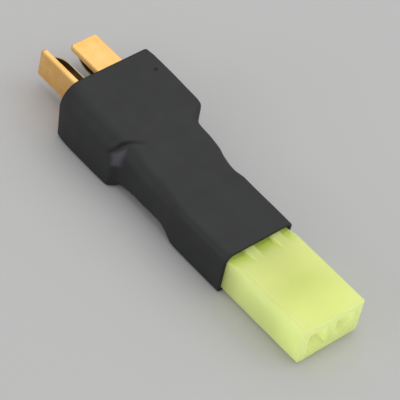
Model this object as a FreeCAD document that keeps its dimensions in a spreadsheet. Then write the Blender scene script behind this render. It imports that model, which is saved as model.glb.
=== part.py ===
"""Battery connector adapter.

A two-blade battery plug is joined to a two-way socket housing by two short
soldered leads, and one black shrink sleeve covers the joints. The plug is at
the -X end and the socket at the +X end, and the part lies on its sleeve at
Z = 0. The origin is at the middle of the base. All lengths are in millimetres.
"""
import FreeCAD, Part
import math
import os
import re
import Sketcher

V = FreeCAD.Vector
FRONT_PLANE = "YZ_Plane"
SIDE_PLANE = "XZ_Plane"
TOP_PLANE = "XY_Plane"
CLOSE = 1e-4

os.makedirs("parts", exist_ok=True)
doc = FreeCAD.newDocument("battery_adapter")

# Driving sizes
DRIVING = [
    ("body_length", 12.0, "plug body along X"),
    ("body_width", 16.0, "plug body along Y"),
    ("body_height", 8.0, "plug body along Z"),
    ("body_corner", 0.5, "rounding of the plug body's long edges"),
    ("body_near_round", 2.3, "rounding of its long top edge at -Y"),
    ("body_rear_bevel", 0.5, "bevel of the plug body's rear edges"),
    ("blade_reach", 10.3, "blade tip to the plug body's front face"),
    ("blade_width", 5.0, "contact blade, broad face"),
    ("blade_thickness", 1.0, "contact blade, sheet thickness"),
    ("blade_tip_round", 0.5, "rounding of the blade's tip corners"),
    ("blade_edge_bevel", 0.18, "coined bevel along the blade's edges"),
    ("flat_blade_offset", 4.2, "lying blade from the plug axis, towards +Y"),
    ("upright_blade_offset", 3.8, "standing blade from the plug axis, towards -Y"),
    ("tab_length", 5.0, "solder tab behind the plug body"),
    ("tab_width", 4.0, "solder tab"),
    ("leaf_thickness", 0.25, "spring leaf, sheet thickness"),
    ("leaf_width", 4.4, "spring leaf"),
    ("leaf_rise", 1.3, "crown of the spring leaf above its blade"),
    ("leaf_bend_radius", 3.2, "outside of the leaf's bow"),
    ("leaf_crown_start", 4.3, "blade tip to the end of the leaf's bow"),
    ("leaf_seat_depth", 4.0, "leaf inside the plug body"),
    ("span", 14.2, "plug body to socket housing"),
    ("housing_length", 26.7, "socket housing along X"),
    ("housing_width", 11.7, "socket housing along Y"),
    ("housing_height", 6.6, "socket housing along Z"),
    ("housing_corner", 0.5, "rounding of the housing's long edges"),
    ("housing_end_round", 0.3, "rounding round the housing's mouth end"),
    ("housing_offset", 1.45, "housing axis from the plug axis, towards -Y"),
    ("cavity_pitch", 5.3, "between the two contact axes"),
    ("cavity_size", 3.9, "mouth cavities across"),
    ("cavity_corner", 0.35, "rounding in the square cavity"),
    ("cavity_depth", 13.0, "mouth cavities along X"),
    ("retainer_thickness", 1.6, "wall that the contact collars seat on"),
    ("rear_bore", 3.8, "bore for the lead and the contact collar"),
    ("contact_clearance", 0.05, "round the contact in the retaining wall, each side"),
    ("ramp_length", 2.6, "sunk ramp on the housing's top, beyond the sleeve"),
    ("ramp_depth", 0.8, "depth of the ramp where the sleeve ends"),
    ("rib_width", 1.5, "ribs that stand in the ramp"),
    ("near_rib_offset", 1.95, "rib from the housing axis, towards -Y"),
    ("far_rib_offset", 3.05, "rib from the housing axis, towards +Y"),
    ("contact_outer", 2.8, "contact barrel outside"),
    ("contact_bore", 2.0, "contact barrel inside"),
    ("contact_reach", 11.3, "contact barrel ahead of its collar"),
    ("contact_bore_depth", 8.0, "bore of the contact barrel"),
    ("contact_seam", 0.2, "gap of the rolled barrel's seam"),
    ("collar_diameter", 3.6, "locking collar of the contact"),
    ("collar_thickness", 1.2, "locking collar along X"),
    ("crimp_length", 4.4, "crimped barrel behind the collar"),
    ("crimp_wall", 0.4, "wall of the crimped barrel"),
    ("core_diameter", 1.8, "bare conductor of a lead"),
    ("core_end_gap", 0.4, "conductor's end to the collar"),
    ("insulation_diameter", 2.8, "lead outside"),
    ("insulation_gap", 0.3, "insulation's end to the crimped barrel"),
    ("core_start", 0.6, "conductor's end behind the plug body"),
    ("bare_length", 3.2, "bare conductor past the solder tab"),
    ("bend_radius", 9.0, "bends of a lead"),
    ("tab_clearance", 1.4, "lead's first bend past the solder tab"),
    ("far_lead_offset", 1.0, "far lead from the middle of its tab, towards -Y"),
    ("solder_length", 4.2, "solder joint along the conductor"),
    ("solder_crest", 1.6, "thickest stretch of a solder joint"),
    ("solder_bulge", 0.45, "solder round the conductor, at its thickest"),
    ("solder_film", 0.1, "solder between the conductor and its tab"),
    ("sleeve_wall", 0.5, "shrink sleeve"),
    ("sleeve_lip", 1.0, "sleeve ahead of the plug body, at the top"),
    ("sleeve_flare", 0.4, "extra width at the front lip"),
    ("flare_length", 3.0, "flared stretch of the sleeve, from its front lip"),
    ("sleeve_grip", 10.5, "sleeve over the socket housing"),
    ("shoulder_length", 2.2, "sleeve from the plug body down to its neck"),
    ("shoulder_share", 0.2, "part of the plug's extra height still left at the shoulder"),
    ("shoulder_fall", 0.3, "part of the way down to the housing axis, at the shoulder"),
    ("neck_fall", 0.5, "part of the way down to the housing axis, at the neck"),
    ("waist_fall", 0.9, "part of the way down to the housing axis, at the waist"),
    ("neck_width", 14.6, "sleeve behind the plug"),
    ("neck_height", 7.0, "sleeve behind the plug"),
    ("neck_shift", 0.4, "neck axis from the plug axis, towards -Y"),
    ("neck_corner", 2.0, "rounding of the sleeve's corners between its two ends"),
    ("waist_width", 13.1, "sleeve just before the socket housing"),
    ("waist_height", 6.9, "sleeve just before the socket housing"),
    ("waist_length", 1.8, "waist to the socket housing"),
    ("overshoot", 1.0, "how far a cutting outline runs past the piece that it cuts"),
]

# Places that follow from the driving sizes
DERIVED = [
    ("total_length", "=blade_reach + body_length + span + housing_length", "tip to mouth"),
    ("tip_x", "=-total_length / 2", "blade tips"),
    ("body_front_x", "=tip_x + blade_reach", "plug body's front face"),
    ("body_rear_x", "=body_front_x + body_length", "plug body's rear face"),
    ("tab_end_x", "=body_rear_x + tab_length", "end of the solder tabs"),
    ("housing_rear_x", "=body_rear_x + span", "rear face of the socket housing"),
    ("collar_x", "=total_length / 2 - cavity_depth - retainer_thickness", "seat of the collars"),
    ("plug_z", "=sleeve_wall + body_height / 2", "plug axis"),
    ("socket_z", "=sleeve_wall + housing_height / 2", "housing axis"),
    ("near_contact_y", "=-housing_offset - cavity_pitch / 2", "contact at -Y"),
    ("far_contact_y", "=-housing_offset + cavity_pitch / 2", "contact at +Y"),
    ("blade_length", "=blade_reach + body_length + tab_length", "tip to tab end"),
    ("grip_width", "=body_width + 2 * sleeve_wall", "sleeve over the plug body"),
    ("grip_height", "=body_height + 2 * sleeve_wall", "sleeve over the plug body"),
    ("over_width", "=housing_width + 2 * sleeve_wall", "sleeve over the housing"),
    ("over_height", "=housing_height + 2 * sleeve_wall", "sleeve over the housing"),
    ("beside_tab", "=( blade_thickness + core_diameter ) / 2 + solder_film", "tab's middle to conductor"),
    ("near_lead_y", "=-upright_blade_offset - beside_tab", "near lead on its tab, beside it"),
    ("far_lead_y", "=flat_blade_offset - far_lead_offset", "far lead on its tab, across it"),
    ("far_lead_z", "=plug_z - beside_tab", "far lead on its tab, under it"),
    ("solder_radius", "=core_diameter / 2 + solder_bulge", "solder joint round the conductor"),
]


def make_sheet():
    """Writes every size into one spreadsheet, each cell under its own name."""
    sheet = doc.addObject("Spreadsheet::Sheet", "Sizes")
    for row, (alias, content, note) in enumerate(DRIVING + DERIVED, start=1):
        sheet.set(f"A{row}", alias)
        sheet.set(f"B{row}", str(content))
        sheet.set(f"C{row}", note)
        sheet.setAlias(f"B{row}", alias)
    doc.recompute()
    return sheet


sizes = make_sheet()


def named(expression):
    """Puts the sheet's name before each size in an expression."""
    aliases = {alias for alias, _, _ in DRIVING + DERIVED}
    return re.sub(r"[a-z_]+", lambda word: f"Sizes.{word[0]}" if word[0] in aliases else word[0], expression)


def number(expression):
    """The present value of an expression over the sheet's names."""
    return float(sizes.evalExpression(named(expression)))


def new_body(label, x="0", y="0", z="0", turn=0.0):
    """A body with its own label, placed by expressions and turned about X by degrees."""
    body = doc.addObject("PartDesign::Body", label)
    body.Label = label
    body.Placement = FreeCAD.Placement(V(number(x), number(y), number(z)),
                                       FreeCAD.Rotation(V(1, 0, 0), turn))
    body.setExpression("Placement.Base.x", named(x))
    body.setExpression("Placement.Base.y", named(y))
    body.setExpression("Placement.Base.z", named(z))
    return body


def new_sketch(body, name, plane, offset="0"):
    """A sketch on one of the body's own planes, moved along the plane's normal."""
    sketch = body.newObject("Sketcher::SketchObject", name)
    support = next(item for item in body.Origin.OriginFeatures if item.Role == plane)
    sketch.AttachmentSupport = (support, [""])
    sketch.MapMode = "FlatFace"
    sketch.setExpression("AttachmentOffset.Base.z", named(offset))
    return sketch


def drive(sketch, kind, references, expression):
    """Adds a dimension to a sketch and binds it to an expression."""
    index = sketch.addConstraint(Sketcher.Constraint(kind, *references, number(expression)))
    sketch.setExpression(f"Constraints[{index}]", named(expression))


def place_point(sketch, geometry, point, x, y):
    """Fixes one point of a sketch by its two coordinates."""
    drive(sketch, "DistanceX", (-1, 1, geometry, point), x)
    drive(sketch, "DistanceY", (-1, 1, geometry, point), y)


def polygon(sketch, corners):
    """A closed outline of straight lines through corners given as expressions."""
    points = [V(number(x), number(y), 0) for x, y in corners]
    count = len(points)
    for index, point in enumerate(points):
        sketch.addGeometry(Part.LineSegment(point, points[(index + 1) % count]), False)
    for index in range(count):
        following = (index + 1) % count
        sketch.addConstraint(Sketcher.Constraint("Coincident", index, 2, following, 1))
    for index, (x, y) in enumerate(corners):
        place_point(sketch, index, 1, x, y)
    return sketch


def rectangle(sketch, across, up, width, height):
    """A plain rectangle about a centre."""
    left = f"{across} - ( {width} ) / 2"
    right = f"{across} + ( {width} ) / 2"
    low = f"{up} - ( {height} ) / 2"
    high = f"{up} + ( {height} ) / 2"
    return polygon(sketch, [(left, low), (right, low), (right, high), (left, high)])


def rounded(sketch, across, up, width, height, radius, near_top=None):
    """A rounded rectangle about a centre; the corner at -Y and +Z may have its own radius."""
    left = f"{across} - ( {width} ) / 2"
    right = f"{across} + ( {width} ) / 2"
    low = f"{up} - ( {height} ) / 2"
    high = f"{up} + ( {height} ) / 2"
    x1, x2, y1, y2 = number(left), number(right), number(low), number(high)
    r = number(radius)
    top = number(near_top) if near_top else r
    lines = [(V(x1 + r, y1, 0), V(x2 - r, y1, 0)), (V(x2, y1 + r, 0), V(x2, y2 - r, 0)),
             (V(x2 - r, y2, 0), V(x1 + top, y2, 0)), (V(x1, y2 - top, 0), V(x1, y1 + r, 0))]
    for start, end in lines:
        sketch.addGeometry(Part.LineSegment(start, end), False)
    quarter = math.pi / 2
    centres = [(V(x2 - r, y1 + r, 0), r, -quarter), (V(x2 - r, y2 - r, 0), r, 0.0),
               (V(x1 + top, y2 - top, 0), top, quarter), (V(x1 + r, y1 + r, 0), r, 2 * quarter)]
    for centre, size, start in centres:
        circle = Part.Circle(centre, V(0, 0, 1), size)
        sketch.addGeometry(Part.ArcOfCircle(circle, start, start + quarter), False)
    for index in range(4):
        sketch.addConstraint(Sketcher.Constraint("Tangent", index, 2, index + 4, 1))
        sketch.addConstraint(Sketcher.Constraint("Tangent", index + 4, 2, (index + 1) % 4, 1))
    for index, kind in enumerate(("Horizontal", "Vertical", "Horizontal", "Vertical")):
        sketch.addConstraint(Sketcher.Constraint(kind, index))
    drive(sketch, "DistanceY", (-1, 1, 0, 1), low)
    drive(sketch, "DistanceX", (-1, 1, 1, 1), right)
    drive(sketch, "DistanceY", (-1, 1, 2, 1), high)
    drive(sketch, "DistanceX", (-1, 1, 3, 1), left)
    for index in range(4):
        drive(sketch, "Radius", (index + 4,), near_top if near_top and index == 2 else radius)
    return sketch


def bevelled(sketch, across, up, width, height, bevel, near_top=None):
    """A rectangle with its four corners cut off; the one at -Y and +Z may have its own bevel."""
    left, right = f"{across} - ( {width} ) / 2", f"{across} + ( {width} ) / 2"
    low, high = f"{up} - ( {height} ) / 2", f"{up} + ( {height} ) / 2"
    top = near_top or bevel
    return polygon(sketch, [
        (f"{left} + {bevel}", low), (f"{right} - {bevel}", low), (right, f"{low} + {bevel}"),
        (right, f"{high} - {bevel}"), (f"{right} - {bevel}", high), (f"{left} + {top}", high),
        (left, f"{high} - {top}"), (left, f"{low} + {bevel}")])


def circle(sketch, across, up, diameter):
    """A circle about a centre given as expressions."""
    centre = V(number(across), number(up), 0)
    sketch.addGeometry(Part.Circle(centre, V(0, 0, 1), number(diameter) / 2), False)
    place_point(sketch, 0, 3, across, up)
    drive(sketch, "Diameter", (0,), diameter)
    return sketch


def pad(body, sketch, length, midplane=False):
    """Extrudes a sketch along its normal, or to both sides of its plane."""
    feature = body.newObject("PartDesign::Pad", sketch.Name + "_pad")
    feature.Profile = sketch
    feature.Length = number(length)
    feature.setExpression("Length", named(length))
    feature.Midplane = midplane
    sketch.Visibility = False
    doc.recompute()
    return feature


def pocket(body, sketch, length=None, reverse=False, midplane=False):
    """Cuts a sketch out of the body, to a depth or through everything."""
    before = body.Shape.Volume
    feature = body.newObject("PartDesign::Pocket", sketch.Name + "_cut")
    feature.Profile = sketch
    feature.Type = "Length" if length else "ThroughAll"
    if length:
        feature.Length = number(length)
        feature.setExpression("Length", named(length))
    feature.Reversed = reverse
    feature.Midplane = midplane
    sketch.Visibility = False
    doc.recompute()
    if not body.Shape.Volume < before:
        raise RuntimeError(f"{sketch.Name} cuts nothing")
    return feature


def loft(body, kind, name, sections):
    """Joins sections by an added or a subtracted loft, straight from each to the next."""
    feature = body.newObject(f"PartDesign::{kind}Loft", name)
    feature.Profile = (sections[0], [""])
    feature.Sections = [(section, [""]) for section in sections[1:]]
    feature.Ruled = True
    feature.Closed = False
    doc.recompute()
    return feature


def edges_where(shape, test):
    """Names of the shape's edges whose bounding box passes a test."""
    return [f"Edge{index}" for index, edge in enumerate(shape.Edges, start=1) if test(edge)]


def ease_edges(body, kind, name, test, size):
    """Rounds or bevels the edges that pass a test."""
    base = body.Tip
    feature = body.newObject(f"PartDesign::{kind}", name)
    feature.Base = (base, edges_where(base.Shape, test))
    setting = "Radius" if kind == "Fillet" else "Size"
    setattr(feature, setting, number(size))
    feature.setExpression(setting, named(size))
    doc.recompute()
    return feature


def lies_at_x(edge, x):
    """True for an edge that lies in one plane across X."""
    box = edge.BoundBox
    return abs(box.XMin - x) < CLOSE and abs(box.XMax - x) < CLOSE


def make_plug_body():
    """The moulded plug body, with a slot right through it for each blade and its leaf."""
    body = new_body("plug_body", "body_front_x", "0", "plug_z")
    outline = rounded(new_sketch(body, "body_outline", FRONT_PLANE), "0", "0",
                      "body_width", "body_height", "body_corner", "body_near_round")
    pad(body, outline, "body_length")
    length = number("body_length")
    ease_edges(body, "Chamfer", "body_rear_edges", lambda edge: lies_at_x(edge, length), "body_rear_bevel")
    slots = [
        ("flat_blade_slot", "flat_blade_offset", "0", "blade_width", "blade_thickness"),
        ("upright_blade_slot", "-upright_blade_offset", "0", "blade_thickness", "blade_width"),
    ]
    for name, across, up, width, height in slots:
        slot = rectangle(new_sketch(body, name, FRONT_PLANE), across, up, width, height)
        pocket(body, slot, reverse=True)
    leaf_low = "blade_thickness / 2 + leaf_rise - leaf_thickness / 2"
    leaves = [
        ("flat_leaf_slot", "flat_blade_offset", f"-( {leaf_low} )", "leaf_width", "leaf_thickness"),
        ("upright_leaf_slot", f"-upright_blade_offset + {leaf_low}", "0", "leaf_thickness", "leaf_width"),
    ]
    for name, across, up, width, height in leaves:
        slot = rectangle(new_sketch(body, name, FRONT_PLANE), across, up, width, height)
        pocket(body, slot, "leaf_seat_depth", reverse=True)
    return body


def make_blade(label, y, turn):
    """A contact blade: a stamped strip with a rounded tip and a narrower solder tab."""
    body = new_body(label, "tip_x", y, "plug_z", turn)
    half = "blade_width / 2"
    step = "blade_length - tab_length"
    outline = polygon(new_sketch(body, label + "_outline", TOP_PLANE), [
        ("0", f"-{half}"), (step, f"-{half}"), (step, "-tab_width / 2"), ("blade_length", "-tab_width / 2"),
        ("blade_length", "tab_width / 2"), (step, "tab_width / 2"), (step, half), ("0", half)])
    pad(body, outline, "blade_thickness", midplane=True)
    far = number("blade_length")

    def is_end_corner(edge):
        box = edge.BoundBox
        at_end = abs(box.XMax) < CLOSE or abs(box.XMin - far) < CLOSE
        return box.ZLength > number("blade_thickness") / 2 and at_end
    ease_edges(body, "Fillet", label + "_ends", is_end_corner, "blade_tip_round")
    limit = number("blade_reach")

    def is_exposed_edge(edge):
        box = edge.BoundBox
        return box.ZLength < CLOSE and box.XMin < limit / 2
    ease_edges(body, "Chamfer", label + "_edges", is_exposed_edge, "blade_edge_bevel")
    return body


def make_leaf(label, y, turn):
    """A spring leaf: it bows off its blade and runs back into the plug body."""
    body = new_body(label, "tip_x", y, "plug_z", turn)
    face = "-blade_thickness / 2"
    crown = f"{face} - leaf_rise"
    centre = f"{crown} + leaf_bend_radius"
    inner_radius = "( leaf_bend_radius - leaf_thickness )"
    root = "blade_reach + leaf_seat_depth"
    sink = "( leaf_bend_radius - leaf_rise )"
    outer_toe = f"leaf_crown_start - sqrt( leaf_bend_radius ^ 2 - {sink} ^ 2 )"
    inner_toe = f"leaf_crown_start - sqrt( {inner_radius} ^ 2 - {sink} ^ 2 )"
    sketch = new_sketch(body, label + "_profile", SIDE_PLANE)
    corners = {
        "outer_toe": V(number(outer_toe), number(face), 0),
        "inner_toe": V(number(inner_toe), number(face), 0),
        "outer_crown": V(number("leaf_crown_start"), number(crown), 0),
        "inner_crown": V(number("leaf_crown_start"), number(f"{crown} + leaf_thickness"), 0),
        "outer_root": V(number(root), number(crown), 0),
        "inner_root": V(number(root), number(f"{crown} + leaf_thickness"), 0),
    }
    middle = V(number("leaf_crown_start"), number(centre), 0)

    def bow(start, end, radius):
        """A quarter-like arc about the bow's centre."""
        direction = (start - middle) + (end - middle)
        through = middle + direction.normalize() * radius
        return Part.Arc(start, through, end)
    outer = number("leaf_bend_radius")
    inner = number(inner_radius)
    sketch.addGeometry(bow(corners["outer_toe"], corners["outer_crown"], outer), False)
    sketch.addGeometry(Part.LineSegment(corners["outer_crown"], corners["outer_root"]), False)
    sketch.addGeometry(Part.LineSegment(corners["outer_root"], corners["inner_root"]), False)
    sketch.addGeometry(Part.LineSegment(corners["inner_root"], corners["inner_crown"]), False)
    sketch.addGeometry(bow(corners["inner_crown"], corners["inner_toe"], inner), False)
    sketch.addGeometry(Part.LineSegment(corners["inner_toe"], corners["outer_toe"]), False)
    for first, first_end, second, second_end in ((0, 2, 1, 1), (1, 2, 2, 1), (2, 2, 3, 1),
                                                 (3, 2, 4, 2), (4, 1, 5, 1), (5, 2, 0, 1)):
        sketch.addConstraint(Sketcher.Constraint("Coincident", first, first_end, second, second_end))
    sketch.addConstraint(Sketcher.Constraint("Coincident", 0, 3, 4, 3))
    place_point(sketch, 0, 3, "leaf_crown_start", centre)
    drive(sketch, "Radius", (0,), "leaf_bend_radius")
    drive(sketch, "Radius", (4,), inner_radius)
    for index in (1, 3):
        sketch.addConstraint(Sketcher.Constraint("Horizontal", index))
        drive(sketch, "DistanceX", (-1, 1, index, 1 if index == 1 else 2), "leaf_crown_start")
        drive(sketch, "DistanceX", (-1, 1, index, 2 if index == 1 else 1), root)
    for index, end in ((0, 1), (4, 1)):
        drive(sketch, "DistanceY", (-1, 1, index, end), face)
    pad(body, sketch, "leaf_width", midplane=True)
    return body


def make_housing():
    """The socket housing: two mouth cavities, a retaining wall and two rear bores."""
    body = new_body("socket_housing", "housing_rear_x", "-housing_offset", "socket_z")
    outline = rounded(new_sketch(body, "housing_outline", FRONT_PLANE), "0", "0",
                      "housing_width", "housing_height", "housing_corner")
    pad(body, outline, "housing_length")
    length = number("housing_length")
    ease_edges(body, "Fillet", "mouth_edges", lambda edge: lies_at_x(edge, length), "housing_end_round")
    near, far = "-cavity_pitch / 2", "cavity_pitch / 2"
    square = rounded(new_sketch(body, "square_cavity", FRONT_PLANE, "housing_length"), near, "0",
                     "cavity_size", "cavity_size", "cavity_corner")
    pocket(body, square, "cavity_depth")
    domed = domed_cavity(new_sketch(body, "domed_cavity", FRONT_PLANE, "housing_length"), far)
    pocket(body, domed, "cavity_depth")
    for side, across in (("near", near), ("far", far)):
        passage = circle(new_sketch(body, side + "_passage", FRONT_PLANE), across, "0",
                         "contact_outer + 2 * contact_clearance")
        pocket(body, passage, reverse=True)
        bore = circle(new_sketch(body, side + "_bore", FRONT_PLANE), across, "0", "rear_bore")
        pocket(body, bore, "housing_length - cavity_depth - retainer_thickness", reverse=True)
    cut_ramp(body)
    return body


def domed_cavity(sketch, across):
    """A cavity with a flat roof, straight sides and a half-round floor."""
    left, right = f"{across} - cavity_size / 2", f"{across} + cavity_size / 2"
    x1, x2, top = number(left), number(right), number("cavity_size / 2")
    middle = V(number(across), 0, 0)
    sketch.addGeometry(Part.LineSegment(V(x2, 0, 0), V(x2, top, 0)), False)
    sketch.addGeometry(Part.LineSegment(V(x2, top, 0), V(x1, top, 0)), False)
    sketch.addGeometry(Part.LineSegment(V(x1, top, 0), V(x1, 0, 0)), False)
    sketch.addGeometry(Part.Arc(V(x1, 0, 0), middle - V(0, top, 0), V(x2, 0, 0)), False)
    for index in range(2):
        sketch.addConstraint(Sketcher.Constraint("Coincident", index, 2, index + 1, 1))
    for index in (2, 3):
        sketch.addConstraint(Sketcher.Constraint("Tangent", index, 2, (index + 1) % 4, 1))
    sketch.addConstraint(Sketcher.Constraint("Vertical", 0))
    sketch.addConstraint(Sketcher.Constraint("Horizontal", 1))
    sketch.addConstraint(Sketcher.Constraint("Vertical", 2))
    place_point(sketch, 3, 3, across, "0")
    drive(sketch, "Radius", (3,), "cavity_size / 2")
    drive(sketch, "DistanceY", (-1, 1, 0, 2), "cavity_size / 2")
    return sketch


def cut_ramp(body):
    """The top falls towards the rear in three lanes, and two ribs stand between the lanes."""
    foot, head = "sleeve_grip - ramp_length", "sleeve_grip + ramp_length"
    roof = "housing_height / 2"
    edges = ["-housing_width / 2 - overshoot", "-near_rib_offset - rib_width / 2",
             "-near_rib_offset + rib_width / 2", "far_rib_offset - rib_width / 2",
             "far_rib_offset + rib_width / 2", "housing_width / 2 + overshoot"]
    for lane in range(3):
        low, high = edges[2 * lane], edges[2 * lane + 1]
        middle = f"-( ( {low} ) + ( {high} ) ) / 2"
        side = new_sketch(body, f"ramp_lane_{lane + 1}", SIDE_PLANE, middle)
        above = f"{roof} + overshoot"
        polygon(side, [(foot, above), (foot, f"{roof} - ramp_depth"),
                       ("sleeve_grip", f"{roof} - ramp_depth"), (head, roof), (head, above)])
        pocket(body, side, f"( {high} ) - ( {low} )", midplane=True)
    return body


def make_contact(label, y):
    """A rolled socket contact: split barrel, locking collar and crimped barrel."""
    body = new_body(label, "collar_x", y, "socket_z")
    crimp_back = "-collar_thickness - crimp_length"
    stop = "-collar_thickness - core_end_gap"
    barrel, bore = "contact_outer / 2", "contact_bore / 2"
    crimp = "core_diameter / 2 + crimp_wall"
    core = "core_diameter / 2"
    profile = polygon(new_sketch(body, label + "_profile", TOP_PLANE), [
        (crimp_back, core), (crimp_back, crimp), ("-collar_thickness", crimp),
        ("-collar_thickness", "collar_diameter / 2"), ("0", "collar_diameter / 2"), ("0", barrel),
        ("contact_reach", barrel), ("contact_reach", bore), ("contact_reach - contact_bore_depth", bore),
        ("contact_reach - contact_bore_depth", "0"), (stop, "0"), (stop, core)])
    turned = body.newObject("PartDesign::Revolution", label + "_turned")
    turned.Profile = profile
    turned.ReferenceAxis = (profile, ["H_Axis"])
    turned.Angle = 360.0
    doc.recompute()
    seam_length = "( contact_bore_depth + overshoot )"
    seam = rectangle(new_sketch(body, label + "_seam", TOP_PLANE),
                     f"contact_reach + overshoot - {seam_length} / 2", "0", seam_length, "contact_seam")
    pocket(body, seam, "contact_outer")
    return body


def lead_route(start_y, start_z, end_y):
    """Corners of a lead's centre line, from its solder tab to its crimped barrel."""
    start_x, turn_x, meet_x, end_x = [number(place) for place in (
        "body_rear_x + core_start", "tab_end_x + tab_clearance", "housing_rear_x",
        "collar_x - collar_thickness - core_end_gap")]
    tab_end = V(0, number(start_y), number(start_z))
    socket_end = V(0, number(end_y), number("socket_z"))
    return [V(start_x, 0, 0) + tab_end, V(turn_x, 0, 0) + tab_end, V(meet_x, 0, 0) + socket_end,
            V(end_x, 0, 0) + socket_end]


def bent_path(corners, radius):
    """Straight runs joined by arcs of one radius, as a wire."""
    edges = []
    start = corners[0]
    for previous, corner, following in zip(corners, corners[1:], corners[2:]):
        back = (previous - corner).normalize()
        ahead = (following - corner).normalize()
        reach = radius * math.tan((math.pi - back.getAngle(ahead)) / 2)
        arc_start = corner + back * reach
        arc_end = corner + ahead * reach
        inward = (back + ahead).normalize()
        centre = corner + inward * math.hypot(radius, reach)
        edges.append(Part.LineSegment(start, arc_start).toShape())
        edges.append(Part.Arc(arc_start, centre - inward * radius, arc_end).toShape())
        start = arc_end
    edges.append(Part.LineSegment(start, corners[-1]).toShape())
    return Part.Wire(edges)


def rod(corners, diameter):
    """A round rod along a lead's centre line, which starts along +X."""
    path = bent_path(corners, number("bend_radius"))
    section = Part.Wire(Part.Circle(corners[0], V(1, 0, 0), diameter / 2).toShape())
    swept = path.makePipeShell([section], True, False)
    print(f"rod of {diameter} mm: volume {swept.Volume:.3f},"
          f" section times length {math.pi * diameter ** 2 / 4 * path.Length:.3f}")
    return swept


def make_lead(side, start_y, start_z, end_y):
    """A lead in two pieces: its bare conductor, and the insulation round the middle of it."""
    corners = lead_route(start_y, start_z, end_y)
    core = doc.addObject("Part::Feature", side + "_conductor")
    core.Label = side + "_conductor"
    core.Shape = rod(corners, number("core_diameter"))
    first_x = number("tab_end_x + bare_length")
    last_x = number("collar_x - collar_thickness - crimp_length - insulation_gap")
    reach = number("2 * grip_width")
    window = Part.makeBox(last_x - first_x, reach, reach, V(first_x, -reach / 2, -reach / 2))
    cover = doc.addObject("Part::Feature", side + "_insulation")
    cover.Label = side + "_insulation"
    cover.Shape = rod(corners, number("insulation_diameter")).common(window).cut(core.Shape)
    return core, cover


def make_solder(label, y, z, turn):
    """A solder joint: it thickens round the conductor and ends flat on the tab below it."""
    body = new_body(label, "body_rear_x + tab_length / 2", y, z, turn)
    half, crest, core = "solder_length / 2", "solder_crest / 2", "core_diameter / 2"
    profile = polygon(new_sketch(body, label + "_profile", TOP_PLANE), [
        (f"-{half}", core), (half, core), (crest, "solder_radius"), (f"-{crest}", "solder_radius")])
    turned = body.newObject("PartDesign::Revolution", label + "_turned")
    turned.Profile = profile
    turned.ReferenceAxis = (profile, ["H_Axis"])
    turned.Angle = 360.0
    doc.recompute()
    tab_face = new_sketch(body, label + "_tab_face", TOP_PLANE, "-core_diameter / 2 - solder_film")
    pocket(body, rectangle(tab_face, "0", "0", "tab_length", "tab_width"))
    return body


# Main sections of the sleeve between the plug body and the socket housing: spans
# to the next one, place along X, centre in Y, centre in Z, width, height, corner,
# and the corner at -Y and +Z where that one differs
MAIN_SECTIONS = [
    (3, "body_rear_x", "0", "plug_z", "grip_width", "grip_height", "body_corner + sleeve_wall",
     "body_near_round + sleeve_wall"),
    (1, "body_rear_x + shoulder_length", "-neck_shift / 2",
     "( 1 - shoulder_fall ) * plug_z + shoulder_fall * socket_z", "neck_width",
     "( 1 - shoulder_share ) * neck_height + shoulder_share * grip_height", "neck_corner"),
    (3, "tab_end_x + shoulder_length / 2", "-neck_shift",
     "( 1 - neck_fall ) * plug_z + neck_fall * socket_z", "neck_width", "neck_height", "neck_corner"),
    (2, "housing_rear_x - waist_length", "-waist_fall * housing_offset",
     "( 1 - waist_fall ) * plug_z + waist_fall * socket_z", "waist_width", "waist_height",
     "neck_corner"),
    (0, "housing_rear_x", "-housing_offset", "socket_z", "over_width", "over_height",
     "housing_corner + sleeve_wall"),
]


def eased(share):
    """A soft start and a soft end between 0 and 1."""
    return share * share * (3 - 2 * share)


def blended_sections():
    """The main sections, and between them the ones that follow a soft S with the neck's corners."""
    listed = [MAIN_SECTIONS[0][1:]]
    for (spans, *first), (_, *second) in zip(MAIN_SECTIONS, MAIN_SECTIONS[1:]):
        for step in range(1, spans):
            along = step / spans
            shares = [along] + [eased(along)] * 4
            between = [f"{1 - share:.4f} * ( {one} ) + {share:.4f} * ( {other} )"
                       for one, other, share in zip(first, second, shares)]
            listed.append(between + ["neck_corner"])
        listed.append(second)
    return listed


def neck_outside(body):
    """The neck's outer form, through rounded sections."""
    sketches = []
    for index, (x, *section) in enumerate(blended_sections(), start=1):
        sketch = new_sketch(body, f"neck_outside_{index}", FRONT_PLANE, x)
        sketches.append(rounded(sketch, *section))
    return loft(body, "Additive", "neck_outer_loft", sketches)


def neck_hollow(body):
    """The neck's hollow, through bevelled sections a wall inside the main ones."""
    sketches = []
    for index, (_, x, across, up, width, height, *corners) in enumerate(MAIN_SECTIONS, start=1):
        sketch = new_sketch(body, f"neck_inside_{index}", FRONT_PLANE, x)
        bevels = [f"( {corner} - sleeve_wall )" for corner in corners]
        sketches.append(bevelled(sketch, across, up, f"{width} - 2 * sleeve_wall",
                                 f"{height} - 2 * sleeve_wall", *bevels))
    return loft(body, "Subtractive", "neck_inner_loft", sketches)


def grip_section(body, name, x, wall="0"):
    """The sleeve's section round the plug body, drawn in by a wall."""
    return rounded(new_sketch(body, name, FRONT_PLANE, x), "0", "plug_z", f"grip_width - 2 * {wall}",
                   f"grip_height - 2 * {wall}", f"body_corner + sleeve_wall - {wall}",
                   f"body_near_round + sleeve_wall - {wall}")


def over_section(body, name, wall="0"):
    """The sleeve's section round the socket housing, drawn in by a wall."""
    return rounded(new_sketch(body, name, FRONT_PLANE, "housing_rear_x"), "-housing_offset", "socket_z",
                   f"over_width - 2 * {wall}", f"over_height - 2 * {wall}",
                   f"housing_corner + sleeve_wall - {wall}")


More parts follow.
